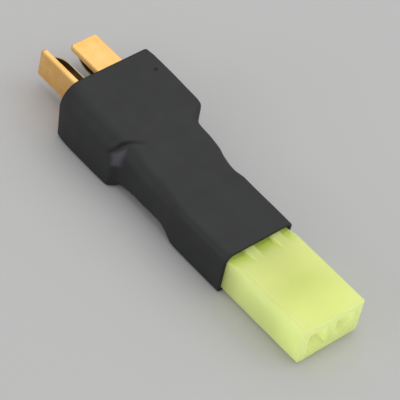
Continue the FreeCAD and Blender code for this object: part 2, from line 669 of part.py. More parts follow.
def make_sleeve():
    """The shrink sleeve: tight on both ends, drawn in at its neck, with a loose lip in front."""
    body = new_body("shrink_sleeve")
    front_x = "( body_front_x - sleeve_lip )"
    flare_end = f"( {front_x} + flare_length )"
    lip = rounded(new_sketch(body, "lip_section", FRONT_PLANE, front_x), "0", "plug_z",
                  "grip_width + sleeve_flare", "grip_height", "body_corner + sleeve_wall",
                  "body_near_round + sleeve_wall")
    loft(body, "Additive", "sleeve_flare_loft", [lip, grip_section(body, "flare_end", flare_end)])
    pad(body, grip_section(body, "over_plug", flare_end), f"body_rear_x - {flare_end}")
    neck_outside(body)
    pad(body, over_section(body, "over_housing"), "sleeve_grip")
    neck_hollow(body)
    pocket(body, grip_section(body, "body_hollow", "body_rear_x", "sleeve_wall"),
           "body_length + sleeve_lip + overshoot")
    pocket(body, over_section(body, "housing_hollow", "sleeve_wall"), "sleeve_grip + overshoot", reverse=True)
    slant = polygon(new_sketch(body, "lip_slant", SIDE_PLANE), [
        (f"{front_x} - overshoot", "-overshoot"), ("body_front_x", "-overshoot"), ("body_front_x", "0"),
        (front_x, "grip_height"), (f"{front_x} - overshoot", "grip_height")])
    pocket(body, slant, "2 * grip_width", midplane=True)
    return body


make_plug_body()
make_blade("flat_blade", "flat_blade_offset", 0)
make_blade("upright_blade", "-upright_blade_offset", 90)
make_leaf("flat_leaf", "flat_blade_offset", 0)
make_leaf("upright_leaf", "-upright_blade_offset", 90)
make_housing()
make_contact("near_contact", "near_contact_y")
make_contact("far_contact", "far_contact_y")
make_lead("near", "near_lead_y", "plug_z", "near_contact_y")
make_lead("far", "far_lead_y", "far_lead_z", "far_contact_y")
make_solder("near_solder", "near_lead_y", "plug_z", 90)
make_solder("far_solder", "far_lead_y", "far_lead_z", 180)
make_sleeve()

NODES = ["plug_body", "flat_blade", "upright_blade", "flat_leaf", "upright_leaf", "socket_housing",
         "near_contact", "far_contact", "near_conductor", "far_conductor", "near_insulation",
         "far_insulation", "near_solder", "far_solder", "shrink_sleeve"]


def export_all():
    """Checks every object, then writes each sub-part to a file of its own."""
    doc.recompute()
    for item in doc.Objects:
        if "Invalid" in item.State or "Error" in item.State:
            raise RuntimeError(f"{item.Name} failed: {item.State}")
    for label in NODES:
        piece = doc.getObjectsByLabel(label)[0]
        shape = piece.Shape
        if shape.isNull() or not shape.isValid() or not shape.Solids:
            raise RuntimeError(f"{label} has no valid solid")
        box = shape.optimalBoundingBox()
        print(f"{label}: {len(shape.Solids)} solid, {shape.Volume:.2f} cubic mm,"
              f" X {box.XMin:.2f} to {box.XMax:.2f}, Y {box.YMin:.2f} to {box.YMax:.2f},"
              f" Z {box.ZMin:.2f} to {box.ZMax:.2f}")
        shape.exportStep(f"parts/{label}.step")


export_all()
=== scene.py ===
# %% [markdown]
# # Battery connector adapter
# A plug with two gold blades is soldered to a two-way socket by two short leads.
# One black shrink sleeve covers the joints and grips both ends. Nothing moves.
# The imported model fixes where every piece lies. This lesson gives each piece the
# surface that it has under a studio lamp, and models the sleeve again as a soft skin.

import math

import bmesh
import bpy
from mathutils import Matrix, Vector
from mathutils import noise as noise_field


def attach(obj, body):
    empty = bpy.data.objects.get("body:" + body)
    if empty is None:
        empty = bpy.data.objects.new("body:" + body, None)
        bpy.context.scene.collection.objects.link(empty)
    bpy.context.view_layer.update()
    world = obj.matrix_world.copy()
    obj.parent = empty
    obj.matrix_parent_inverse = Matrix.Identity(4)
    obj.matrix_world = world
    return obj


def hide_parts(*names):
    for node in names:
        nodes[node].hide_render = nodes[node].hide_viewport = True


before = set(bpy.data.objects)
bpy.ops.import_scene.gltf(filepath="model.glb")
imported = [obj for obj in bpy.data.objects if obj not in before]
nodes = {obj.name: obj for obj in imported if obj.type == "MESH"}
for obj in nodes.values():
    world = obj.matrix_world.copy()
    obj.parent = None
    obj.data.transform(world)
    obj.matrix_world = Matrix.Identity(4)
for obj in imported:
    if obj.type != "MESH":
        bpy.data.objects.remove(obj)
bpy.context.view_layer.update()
MM = 0.001
print("nodes:", ", ".join(sorted(nodes)))

# %% [markdown]
# ## Camera
# The picture was taken from a distance with a long lens, so the edges of the part
# stay almost parallel. A lens can be set by eye, but here its length in pixels, the
# point in the middle of the picture and the tilt were worked out from the corners of
# the plug and the socket, and the camera is built from those few values.

# %% Camera
IMAGE_SIDE = 400
FOCAL_PIXELS = 2640.0
SENSOR = 36.0
AIM = Vector((2.64, -1.25, 4.0)) * MM
CAMERA_DISTANCE = 383.1 * MM
CAMERA_AZIMUTH = math.radians(39.3)
CAMERA_ELEVATION = math.radians(46.5)
CAMERA_ROLL = math.radians(13.8)
# what is nearer or further than this, in m, isn't drawn
CLIP_START, CLIP_END = 0.01, 10.0


def place_camera():
    """The camera looks at AIM from its azimuth and elevation, rolled about its own axis."""
    data = bpy.data.cameras.new("camera")
    data.sensor_width = SENSOR
    data.lens = SENSOR * FOCAL_PIXELS / IMAGE_SIDE
    data.clip_start = CLIP_START
    data.clip_end = CLIP_END
    camera = bpy.data.objects.new("camera", data)
    bpy.context.scene.collection.objects.link(camera)
    level = math.cos(CAMERA_ELEVATION)
    back = Vector((math.sin(CAMERA_AZIMUTH) * level, -math.cos(CAMERA_AZIMUTH) * level,
                   math.sin(CAMERA_ELEVATION)))
    camera.location = AIM + back * CAMERA_DISTANCE
    level_axes = (-back).to_track_quat("-Z", "Y").to_matrix()
    right, up = level_axes.col[0], level_axes.col[1]
    rolled_right = right * math.cos(CAMERA_ROLL) + up * math.sin(CAMERA_ROLL)
    rolled_up = up * math.cos(CAMERA_ROLL) - right * math.sin(CAMERA_ROLL)
    camera.rotation_mode = "QUATERNION"
    camera.rotation_quaternion = Matrix((rolled_right, rolled_up, back)).transposed().to_quaternion()
    bpy.context.scene.camera = camera
    return camera


camera = place_camera()
bpy.context.scene.view_settings.view_transform = "Standard"
print("lens in mm:", round(camera.data.lens, 1))

# %% [markdown]
# ## A finish and its nodes
# Every finish is a small graph of shader nodes. It could be drawn by hand in the node
# editor. Written as code, it can be read and changed in one place. These helpers make
# a material, add a node with its settings, and take a vector apart.

# %% Material helpers
WHITE = (1.0, 1.0, 1.0, 1.0)


def new_finish(name):
    """An empty material with its shader and output: the material, its nodes and the shader."""
    material = bpy.data.materials.new(name)
    material.use_nodes = True
    tree = material.node_tree
    tree.nodes.clear()
    shader = tree.nodes.new("ShaderNodeBsdfPrincipled")
    output = tree.nodes.new("ShaderNodeOutputMaterial")
    tree.links.new(shader.outputs["BSDF"], output.inputs["Surface"])
    return material, tree, shader


def add_node(tree, kind, inputs=None, **settings):
    """A shader node with its settings and the values of its unlinked sockets."""
    node = tree.nodes.new("ShaderNode" + kind)
    for key, value in settings.items():
        setattr(node, key, value)
    for key, value in (inputs or {}).items():
        node.inputs[key].default_value = value
    return node


def split_axes(tree, vector):
    """The parts of a vector, as the sockets X, Y and Z."""
    node = add_node(tree, "SeparateXYZ")
    tree.links.new(vector, node.inputs["Vector"])
    return node.outputs


print("material helpers ready")

# %% [markdown]
# ## Stage
# The part lies on a plain light grey sheet. The floor has the grey that the picture
# shows, and the lamps are set so that such a grey renders as it is written.

# %% Floor
FLOOR_SIDE = 2.4
FLOOR_GREY = (0.5, 0.5, 0.497)
PAPER_ROUGHNESS = 0.9
PAPER_SHINE = 0.1


def make_floor():
    """A wide sheet of matte paper."""
    mesh = bpy.data.meshes.new("floor")
    form = bmesh.new()
    bmesh.ops.create_grid(form, x_segments=2, y_segments=2, size=FLOOR_SIDE / 2)
    form.to_mesh(mesh)
    form.free()
    floor = bpy.data.objects.new("floor", mesh)
    bpy.context.scene.collection.objects.link(floor)
    material, _, shader = new_finish("paper")
    shader.inputs["Base Color"].default_value = (*FLOOR_GREY, 1.0)
    shader.inputs["Roughness"].default_value = PAPER_ROUGHNESS
    shader.inputs["Specular IOR Level"].default_value = PAPER_SHINE
    mesh.materials.append(material)


make_floor()
print("floor side in m:", FLOOR_SIDE)

# %% [markdown]
# ## Lamps
# The picture was lit as in a light tent: the flat tops and the near sides are almost
# equally bright, and the shadows are soft and lie close to the part. Four large soft
# lamps stand round it, and a pale surround fills what they leave. It is dimmer at the
# horizon, so that the edges of the gold have something darker to mirror. The powers were
# found by rendering with one lamp at a time and weighing the results with the picture.

# %% Lamps
# place in m, side in m and power in W
SOFT_LAMPS = {
    "far_left_lamp": (Vector((-0.35, 0.55, 0.76)), 1.0, 1.6),
    "far_right_lamp": (Vector((0.55, 0.6, 0.6)), 1.0, 2.9),
    "top_lamp": (Vector((0.0, 0.0, 1.0)), 0.5, 1.45),
    "near_lamp": (Vector((-0.15, -0.95, 0.3)), 0.5, 1.95),
}


def soft_lamp(name, place, side, power):
    """A square soft lamp that points at the part."""
    data = bpy.data.lights.new(name, "AREA")
    data.shape = "SQUARE"
    data.size = side
    data.energy = power
    lamp = bpy.data.objects.new(name, data)
    lamp.location = place
    lamp.rotation_mode = "QUATERNION"
    lamp.rotation_quaternion = (AIM - place).to_track_quat("-Z", "Y")
    bpy.context.scene.collection.objects.link(lamp)


for name, (place, side, power) in SOFT_LAMPS.items():
    soft_lamp(name, place, side, power)
    print(name, "of", power, "W")

# %% [markdown]
# The surround is a plain white sky whose strength rises from the horizon. A picture of
# a studio could stand there, but a sky of one colour keeps every tint as it is written.

# %% Surround
HORIZON_STRENGTH, SKY_STRENGTH = 0.3, 0.65
# the height of the unit sky from which its strength is full
SKY_START = 0.55


def pale_world():
    """A white surround, dimmer at the horizon than overhead."""
    world = bpy.data.worlds.new("surround")
    world.use_nodes = True
    tree = world.node_tree
    background = tree.nodes["Background"]
    background.inputs["Color"].default_value = WHITE
    height = split_axes(tree, add_node(tree, "TexCoord").outputs["Generated"])["Z"]
    reach = {"From Min": 0.0, "From Max": SKY_START, "To Min": HORIZON_STRENGTH, "To Max": SKY_STRENGTH}
    strength = add_node(tree, "MapRange", reach, interpolation_type="SMOOTHSTEP")
    tree.links.new(height, strength.inputs["Value"])
    tree.links.new(strength.outputs["Result"], background.inputs["Strength"])
    bpy.context.scene.world = world


pale_world()
print("surround strength:", HORIZON_STRENGTH, "to", SKY_STRENGTH)

# %% [markdown]
# ## Tools for grain and tone
# No real surface has one flat colour. Noise that is measured in millimetres moves the
# tone and the gloss a little, and gives the surface its fine relief. A photograph of a
# surface would do too, but noise needs no file and no unwrapping.

# %% Grain and tone helpers


def place_in_mm(tree, stretch=(1, 1, 1)):
    """The surface point in millimetres; an axis with a stretch under 1 has longer features."""
    where = add_node(tree, "TexCoord")
    scaled = add_node(tree, "Mapping", {"Scale": tuple(axis / MM for axis in stretch)})
    tree.links.new(where.outputs["Object"], scaled.inputs["Vector"])
    return scaled.outputs["Vector"]


def noise(tree, where, per_mm, detail=2.0, roughness=0.5):
    """Soft noise with so many features a millimetre."""
    node = add_node(tree, "TexNoise", {"Scale": per_mm, "Detail": detail, "Roughness": roughness})
    tree.links.new(where, node.inputs["Vector"])
    return node.outputs["Fac"]


def ramp(tree, factor, stops):
    """A colour or a grey value that follows a factor through stops of (place, value)."""
    node = add_node(tree, "ValToRGB")
    elements = node.color_ramp.elements
    for place, _ in stops[len(elements):]:
        elements.new(place)
    for element, (place, value) in zip(elements, stops):
        element.position = place
        colour = value if isinstance(value, tuple) else (value, value, value)
        element.color = (*colour, 1.0)
    tree.links.new(factor, node.inputs["Fac"])
    return node.outputs["Color"]


def bump(tree, shader, height, relief):
    """Relief on the surface from a grey height; relief is its depth in mm and its strength."""
    depth, strength = relief
    node = add_node(tree, "Bump", {"Strength": strength, "Distance": depth * MM})
    tree.links.new(height, node.inputs["Height"])
    tree.links.new(node.outputs["Normal"], shader.inputs["Normal"])


def dress(node_name, material):
    """Gives a CAD node its finish."""
    piece = nodes[node_name]
    piece.data.materials.clear()
    piece.data.materials.append(material)


print("grain and tone helpers ready")

# %% [markdown]
# ## Gold blades
# The blades are stamped brass with a bright gold plating. Metal takes its colour from
# the shader's base colour. Rolling and plating leave fine lines along the strip, so the
# roughness and a slight relief follow noise that is stretched along X.

# %% Blade finish
# stops of a ramp: the noise value, and the tint or the roughness there
BLADE_TINTS = [(0.3, (0.93, 0.53, 0.16)), (0.75, (1.0, 0.64, 0.25))]
BLADE_ROUGHNESS = [(0.3, 0.24), (0.8, 0.42)]
BLADE_LAY = (0.25, 4.0, 4.0)
BLADE_LINES_PER_MM, BLADE_CLOUDS_PER_MM = 1.6, 0.5
BLADE_RELIEF = (0.01, 0.3)


def gold_finish():
    """Gold plating over rolled brass."""
    material, tree, shader = new_finish("gold_plating")
    shader.inputs["Metallic"].default_value = 1.0
    lines = noise(tree, place_in_mm(tree, BLADE_LAY), BLADE_LINES_PER_MM, detail=3.0, roughness=0.6)
    clouds = noise(tree, place_in_mm(tree), BLADE_CLOUDS_PER_MM)
    tree.links.new(ramp(tree, clouds, BLADE_TINTS), shader.inputs["Base Color"])
    tree.links.new(ramp(tree, lines, BLADE_ROUGHNESS), shader.inputs["Roughness"])
    bump(tree, shader, lines, BLADE_RELIEF)
    return material


gold = gold_finish()
for name in ("flat_blade", "upright_blade"):
    dress(name, gold)
    print(name, "plated")

# %% [markdown]
# ## Spring leaves
# Each blade carries a thin spring leaf that presses on its mate. It is bare steel; its
# darker, slightly warm tone is painted shade and a painted reflection of the gold. The
# same kind of graph does for it, in other tones.

# %% Leaf finish
# painted shade and a painted reflection of the gold darken and warm the steel
LEAF_SHADED_TINTS = [(0.25, (0.33, 0.3, 0.21)), (0.8, (0.47, 0.43, 0.32))]
LEAF_ROUGHNESS = [(0.2, 0.28), (0.8, 0.4)]
LEAF_LAY = (0.2, 3.0, 3.0)
LEAF_LINES_PER_MM = 2.0


def spring_finish():
    """Spring steel with rolling lines."""
    material, tree, shader = new_finish("spring_steel")
    shader.inputs["Metallic"].default_value = 1.0
    lines = noise(tree, place_in_mm(tree, LEAF_LAY), LEAF_LINES_PER_MM, detail=3.0)
    tree.links.new(ramp(tree, lines, LEAF_SHADED_TINTS), shader.inputs["Base Color"])
    tree.links.new(ramp(tree, lines, LEAF_ROUGHNESS), shader.inputs["Roughness"])
    return material


spring = spring_finish()
for name in ("flat_leaf", "upright_leaf"):
    dress(name, spring)
    print(name, "finished")

# %% [markdown]
# ## Plug body
# The plug body is moulded nylon. Only its front shows, in the mouth of the sleeve, and
# the picture doesn't show its colour: red is usual for plugs of this type. Nylon is
# satin, with a fine grain from the mould.

# %% Plug body finish
MOULD_CLOUDS_PER_MM, MOULD_GRAIN_PER_MM = 0.8, 9.0
MOULD_RELIEF = (0.01, 0.4)
MOULD_ROUGHNESS = 0.45
PLUG_DARK, PLUG_LIGHT = (0.44, 0.035, 0.03), (0.55, 0.055, 0.045)


def moulded_finish(name, dark, light):
    """A moulded plastic: a satin skin with a fine grain."""
    material, tree, shader = new_finish(name)
    where = place_in_mm(tree)
    clouds = noise(tree, where, MOULD_CLOUDS_PER_MM, detail=3.0)
    tree.links.new(ramp(tree, clouds, [(0.3, dark), (0.8, light)]), shader.inputs["Base Color"])
    shader.inputs["Roughness"].default_value = MOULD_ROUGHNESS
    bump(tree, shader, noise(tree, where, MOULD_GRAIN_PER_MM), MOULD_RELIEF)
    return material


dress("plug_body", moulded_finish("plug_nylon", PLUG_DARK, PLUG_LIGHT))
print("plug_body finished")

# %% [markdown]
# ## Socket housing
# The housing is unfilled nylon, which lets light in and scatters it, so its near side
# and its end are as bright as its top; a painted glow and painted light in its tint add
# to that. Its tint holds painted light and shade: by the way that a face points, the top
# is a little yellower than the sides, and the sunk lanes beside the sleeve are the
# greenest, with a painted shade. A tint could be painted on, but here it follows the
# place on the piece and the way that a face points.
# These helpers blend two colours, find how far a value has come, and join two values.

# %% Helpers for a tint by place


def blend(tree, share, first, second):
    """The first colour where the share is 0 and the second where it is 1."""
    node = add_node(tree, "MixRGB")
    tree.links.new(share, node.inputs["Fac"])
    for key, colour in (("Color1", first), ("Color2", second)):
        if isinstance(colour, tuple):
            node.inputs[key].default_value = (*colour, 1.0)
        else:
            tree.links.new(colour, node.inputs[key])
    return node.outputs["Color"]


def part_of_span(tree, value, start, end):
    """0 on one side of the start, 1 on the other side of the end, and smooth between them."""
    node = add_node(tree, "MapRange", {"From Min": start, "From Max": end}, interpolation_type="SMOOTHSTEP")
    tree.links.new(value, node.inputs["Value"])
    return node.outputs["Result"]


def combine(tree, operation, first, second=None):
    """One value from one or two others; the second may be a plain number."""
    node = add_node(tree, "Math", operation=operation)
    tree.links.new(first, node.inputs[0])
    if isinstance(second, float):
        node.inputs[1].default_value = second
    elif second is not None:
        tree.links.new(second, node.inputs[1])
    return node.outputs["Value"]


print("tint helpers ready")

# %% [markdown]
# The tint itself has three parts: the top with its clouds, the lanes with their painted
# shade, and the side with its painted light, which is brighter beside the sleeve. The
# ribs between the lanes have the top's tint.

# %% Housing tint
TOP_TINTS = [(0.3, (0.64, 0.7, 0.21)), (0.75, (0.73, 0.73, 0.26))]
TOP_CLOUDS_PER_MM = 0.22
# painted light: the side is lighter than the top, and lighter still beside the sleeve
SIDE_LIGHT_TINT, SIDE_LIGHT_BESIDE_SLEEVE = (0.75, 0.87, 0.33), (0.85, 1.0, 0.3)
# painted shade: a saturated green in the sunk lanes, where the sleeve shades the nylon
LANE_SHADE_TINT = (0.66, 0.9, 0.055)
# along X in mm: from the sleeve's end to where the side and the lanes look like the rest
BESIDE_START, BESIDE_END = 15.2, 22.0
LANE_START, LANE_END = 15.2, 18.2
# up Z in mm: from the floor of a lane to the top of the housing
LANE_FLOOR, LANE_TOP = 6.3, 7.1
# how far up a face points: a side up to the first, the top from the second
FACING_SIDE, FACING_UP = 0.3, 0.9


def housing_tint_and_painted_light(tree, where, place):
    """The nylon's colour with painted light and shade, by the place in mm and by the way that the face
    points.
    """
    top = ramp(tree, noise(tree, where, TOP_CLOUDS_PER_MM), TOP_TINTS)
    past_lanes = part_of_span(tree, place["X"], LANE_START, LANE_END)
    over_lanes = part_of_span(tree, place["Z"], LANE_FLOOR, LANE_TOP)
    top = blend(tree, combine(tree, "MAXIMUM", past_lanes, over_lanes), LANE_SHADE_TINT, top)
    off_sleeve = part_of_span(tree, place["X"], BESIDE_START, BESIDE_END)
    side = blend(tree, off_sleeve, SIDE_LIGHT_BESIDE_SLEEVE, SIDE_LIGHT_TINT)
    facing = split_axes(tree, add_node(tree, "NewGeometry").outputs["Normal"])
    return blend(tree, part_of_span(tree, facing["Z"], FACING_SIDE, FACING_UP), side, top)


print("housing tints:", len(TOP_TINTS), "on top,", SIDE_LIGHT_TINT, "on the side")

# %% [markdown]
# A faint painted glow stands in for the light that passes through the nylon. It is
# weakest beside the sleeve, which lets no light in, so painted shade lies there. The
# cavities gather light from all their thin walls, so their painted glow is stronger than
# the skin's, and they hardly show.

# %% Housing glow, painted light
# painted light: the tint of the glow
GLOW_TINT = (0.7, 0.72, 0.45)
# along X in mm: from inside the sleeve to the end of the housing
GLOW_START, GLOW_END = 14.5, 31.6
# share of the way between them, and the strength there
GLOW_STRENGTHS = [(0.0, 0.04), (0.25, 0.26), (0.65, 0.2), (1.0, 0.23)]
# a grey, because a blend takes colours
CAVITY_STRENGTH = (0.5, 0.5, 0.5)
# along X in mm: the cavities glow in full down to the first, and no more from the second
CAVITY_START, CAVITY_END = 27.0, 25.0
# the outer skin glows less than what is deeper than SKIN_MM, in full above SURFACE_MM
SKIN_MM = 0.5
SURFACE_MM = SKIN_MM / 3


def skin_share(tree, place, piece):
    """0 on the walls of the cavities, and 1 on the outer skin of the piece."""
    share = part_of_span(tree, place["X"], CAVITY_START, CAVITY_END)
    for axis, name in enumerate("XYZ"):
        values = [corner[axis] / MM for corner in piece.bound_box]
        middle, half = (max(values) + min(values)) / 2, (max(values) - min(values)) / 2
        off_middle = combine(tree, "ABSOLUTE", combine(tree, "SUBTRACT", place[name], middle))
        on_skin = part_of_span(tree, off_middle, half - SKIN_MM, half - SURFACE_MM)
        share = combine(tree, "MAXIMUM", share, on_skin)
    return share


def painted_glow_strength(tree, place):
    """The strength of the painted glow, by the place in mm."""
    along = add_node(tree, "MapRange", {"From Min": GLOW_START, "From Max": GLOW_END})
    tree.links.new(place["X"], along.inputs["Value"])
    glow = ramp(tree, along.outputs["Result"], GLOW_STRENGTHS)
    return blend(tree, skin_share(tree, place, nodes["socket_housing"]), CAVITY_STRENGTH, glow)


print("glow at the end of the housing:", GLOW_STRENGTHS[-1][1])

# %% [markdown]
# Subsurface scattering alone keeps most light near the face that it entered. So a
# translucent shader passes part of it straight through each wall.

# %% Housing finish
SCATTER_MM = 3.5
# how far red, green and blue light scatter, as shares of SCATTER_MM
SCATTER_SHARES = (1.0, 1.0, 0.5)
NYLON_ROUGHNESS = 0.38
NYLON_GRAIN_PER_MM = 3.0
NYLON_RELIEF = (0.012, 0.3)
THROUGH_TINT = (0.96, 1.0, 0.72)
THROUGH_SHARE = 0.52


def clear_nylon():
    """Tinted translucent nylon."""
    material, tree, shader = new_finish("tinted_nylon")
    where = place_in_mm(tree)
    place = split_axes(tree, where)
    tree.links.new(housing_tint_and_painted_light(tree, where, place), shader.inputs["Base Color"])
    # painted light: an emission glow stands in for light that passes through the nylon
    tree.links.new(painted_glow_strength(tree, place), shader.inputs["Emission Strength"])
    shader.inputs["Emission Color"].default_value = (*GLOW_TINT, 1.0)
    shader.inputs["Subsurface Weight"].default_value = 1.0
    shader.inputs["Subsurface Radius"].default_value = SCATTER_SHARES
    shader.inputs["Subsurface Scale"].default_value = SCATTER_MM * MM
    shader.inputs["Roughness"].default_value = NYLON_ROUGHNESS
    bump(tree, shader, noise(tree, where, NYLON_GRAIN_PER_MM, detail=3.0), NYLON_RELIEF)
    through = add_node(tree, "BsdfTranslucent", {"Color": (*THROUGH_TINT, 1.0)})
    both = add_node(tree, "MixShader", {"Fac": THROUGH_SHARE})
    tree.links.new(shader.outputs["BSDF"], both.inputs[1])
    tree.links.new(through.outputs["BSDF"], both.inputs[2])
    tree.links.new(both.outputs["Shader"], tree.nodes["Material Output"].inputs["Surface"])
    return material


dress("socket_housing", clear_nylon())
print("socket_housing finished")

# %% [markdown]
# ## Contacts, conductors and solder
# The contacts are rolled from tinned brass, and their front ends show in the cavities.
# The conductors are stranded copper and the solder is a dull silver, and both lie
# inside. One metal graph does for all three, with other tones and another grain.

# %% Inner metal finishes
METAL_GRAIN_PER_MM = 1.5
METAL_RELIEF = (0.02, 0.4)
# darker and lighter tint, lowest and highest roughness, and the stretch of the grain
INNER_METALS = {
    "tinned_brass": ((0.55, 0.52, 0.46), (0.72, 0.69, 0.62), 0.25, 0.4, (0.4, 2, 2)),
    "stranded_copper": ((0.62, 0.28, 0.14), (0.85, 0.45, 0.27), 0.3, 0.5, (0.3, 6, 6)),
    "solder_alloy": ((0.42, 0.42, 0.43), (0.66, 0.66, 0.67), 0.35, 0.6, (1, 1, 1)),
}


def plain_metal(name):
    """A metal whose tone and gloss follow fine noise, stretched along its lay."""
    dark, light, smooth, rough, lay = INNER_METALS[name]
    material, tree, shader = new_finish(name)
    shader.inputs["Metallic"].default_value = 1.0
    grain = noise(tree, place_in_mm(tree, lay), METAL_GRAIN_PER_MM, detail=3.0)
    tree.links.new(ramp(tree, grain, [(0.25, dark), (0.8, light)]), shader.inputs["Base Color"])
    tree.links.new(ramp(tree, grain, [(0.25, smooth), (0.8, rough)]), shader.inputs["Roughness"])
    bump(tree, shader, grain, METAL_RELIEF)
    return material


tin, copper, solder = [plain_metal(name) for name in INNER_METALS]
for side in ("near", "far"):
    dress(side + "_contact", tin)
    dress(side + "_conductor", copper)
    dress(side + "_solder", solder)
print("inner metals finished:", ", ".join(INNER_METALS))

# %% [markdown]
# ## Lead insulation
# The insulation is soft silicone or PVC, one black and one red, hidden by the sleeve.
# It has the same satin skin as the plug body, so the same graph makes it.

# %% Insulation finishes
BLACK_DARK, BLACK_LIGHT = (0.012, 0.012, 0.013), (0.03, 0.03, 0.03)
RED_DARK, RED_LIGHT = (0.42, 0.015, 0.012), (0.58, 0.03, 0.02)
dress("near_insulation", moulded_finish("black_insulation", BLACK_DARK, BLACK_LIGHT))
dress("far_insulation", moulded_finish("red_insulation", RED_DARK, RED_LIGHT))
print("insulation finished")

# %% [markdown]
# ## Shrink sleeve
# A shrink sleeve starts as a round tube. Heat draws it onto what lies inside, so it is
# tight on the plug and on the socket, and hangs free between them in one soft skin.
# It could be sculpted, but a skin through sections along X is easier to measure. Each
# section is a box with rounded corners, and its sides and its corner radii follow
# smooth curves through the knots below. The plug's lower corners are sharp and its near
# top corner is round, so each has a column of its own.

# %% Sleeve knots
# along X in mm: near side Y, far side Y, bottom Z, top Z, then the corner radii at the
# near top, at the far top and at the bottom
SLEEVE_KNOTS = [
    (-22.2, -8.25, 8.69, 0.0, 8.995, 3.5, 1.0, 0.5),
    (-20.5, -8.5, 8.65, 0.0, 8.995, 3.05, 0.65, 0.5),
    (-17.0, -8.6, 8.58, 0.0, 8.995, 2.8, 0.6, 0.45),
    (-12.5, -8.62, 8.52, 0.0, 8.98, 2.8, 0.8, 0.45),
    (-10.2, -8.6, 8.48, 0.0, 8.96, 2.75, 0.9, 0.5),
    (-9.5, -8.56, 8.4, 0.0, 8.91, 2.7, 1.0, 0.55),
    (-9.25, -8.42, 8.26, 0.02, 8.88, 2.7, 1.0, 0.6),
    (-8.6, -7.9, 7.64, 0.2, 8.74, 2.5, 1.2, 0.8),
    (-8.3, -7.7, 7.32, 0.35, 8.66, 2.4, 1.4, 1.1),
    (-8.05, -7.6, 7.03, 0.42, 8.6, 2.35, 1.5, 1.3),
    (-7.15, -7.57, 6.42, 0.52, 8.35, 2.3, 1.8, 1.6),
    (-4.5, -7.66, 6.66, 0.6, 7.83, 2.3, 2.0, 1.9),
    (-2.7, -7.72, 6.56, 0.62, 7.65, 2.3, 2.0, 2.0),
    (-0.4, -7.72, 5.97, 0.62, 7.5, 2.2, 2.0, 2.05),
    (1.2, -7.75, 5.66, 0.62, 7.45, 2.0, 2.0, 2.0),
    (2.6, -7.82, 5.45, 0.45, 7.4, 1.7, 1.8, 1.7),
    (3.6, -7.87, 5.3, 0.2, 7.45, 1.4, 1.4, 1.2),
    (4.7, -7.92, 5.17, 0.03, 7.55, 1.3, 1.0, 0.7),
    (6.5, -7.94, 5.08, 0.0, 7.6, 1.2, 1.0, 0.6),
    (12.8, -7.94, 5.0, 0.0, 7.6, 1.3, 0.9, 0.55),
    (15.2, -7.92, 4.96, 0.0, 7.58, 1.8, 0.9, 0.55),
]
SLEEVE_START, SLEEVE_END = SLEEVE_KNOTS[0][0], SLEEVE_KNOTS[-1][0]
print("sleeve in mm: from", SLEEVE_START, "to", SLEEVE_END)

# %% [markdown]
# A curve through the knots must not swing past them, or the sleeve would bulge where it
# is flat. So its slope at a knot is the harmonic mean of the slopes on both sides, and 0
# where these have opposite signs.

# %% Smooth curve through the knots


def knot_slope(index, column):
    """The slope of the straight line from a knot to the next one."""
    first, second = SLEEVE_KNOTS[index], SLEEVE_KNOTS[index + 1]
    return (second[column] - first[column]) / (second[0] - first[0])


def knot_tangent(index, column):
    """The slope of the curve at a knot, which is level at both ends of the sleeve."""
    if index in (0, len(SLEEVE_KNOTS) - 1):
        return 0.0
    before, after = knot_slope(index - 1, column), knot_slope(index, column)
    return 0.0 if before * after <= 0 else 2 * before * after / (before + after)


def smooth_value(x, column):
    """A monotone smooth curve through one column of the knots."""
    starts = range(len(SLEEVE_KNOTS) - 1)
    index = max(i for i in starts if SLEEVE_KNOTS[i][0] <= x or i == 0)
    first, second = SLEEVE_KNOTS[index], SLEEVE_KNOTS[index + 1]
    span = second[0] - first[0]
    t = min(max((x - first[0]) / span, 0.0), 1.0)
    left = (1 + 2 * t) * (1 - t) ** 2 * first[column] + t * (1 - t) ** 2 * span * knot_tangent(index, column)
    right = t * t * (3 - 2 * t) * second[column] - t * t * (1 - t) * span * knot_tangent(index + 1, column)
    return left + right


middle_x = (SLEEVE_START + SLEEVE_END) / 2
print("top of the sleeve at its middle in mm:", round(smooth_value(middle_x, 4), 2))

# %% [markdown]
# The near top corner carries a pleat, so its arc and the sides next to it get more
# points than the rest of a ring. The rings also lie closer together behind the plug.

# %% Sleeve rings
SLEEVE_WALL = 0.5
LEAST_RADIUS = 0.2
# points in the arc of each corner, and along the side that follows it, anticlockwise
# from the far bottom corner
ARC_POINTS = (8, 8, 28, 10)
SIDE_POINTS = (14, 52, 22, 18)
# where a stretch of rings starts along X, and its steps
RING_STRETCHES = ((SLEEVE_START, 0.3), (-11.6, 0.09), (-6.4, 0.25))


def ring_points(x, inset=0.0):
    """One section as pairs: a point, and the direction out of the sleeve there."""
    near, far, low, high, *radii = [smooth_value(x, column) for column in range(1, 8)]
    near, far, low, high = near + inset, far - inset, low + inset, high - inset
    near_top, far_top, bottom = [max(radius - inset, LEAST_RADIUS) for radius in radii]
    corners = [(far - bottom, low + bottom, bottom), (far - far_top, high - far_top, far_top),
               (near + near_top, high - near_top, near_top), (near + bottom, low + bottom, bottom)]

    def on_corner(index, share):
        y, z, radius = corners[index % 4]
        angle = math.radians(90 * (index + share - 1))
        outward = Vector((0, math.cos(angle), math.sin(angle)))
        return Vector((x, y, z)) + outward * radius, outward

    pairs = []
    for index, (arc, side) in enumerate(zip(ARC_POINTS, SIDE_POINTS)):
        pairs += [on_corner(index, step / (arc - 1)) for step in range(arc)]
        start, outward = on_corner(index, 1)
        end, _ = on_corner(index + 1, 0)
        pairs += [(start.lerp(end, step / side), outward) for step in range(1, side)]
    return pairs


def ring_places():
    """Places of the rings along X, from one stretch of even steps to the next."""
    ends = [start for start, _ in RING_STRETCHES[1:]] + [SLEEVE_END]
    places = []
    for (start, step), end in zip(RING_STRETCHES, ends):
        count = round((end - start) / step)
        places += [start + (end - start) * index / count for index in range(count)]
    return places + [SLEEVE_END]


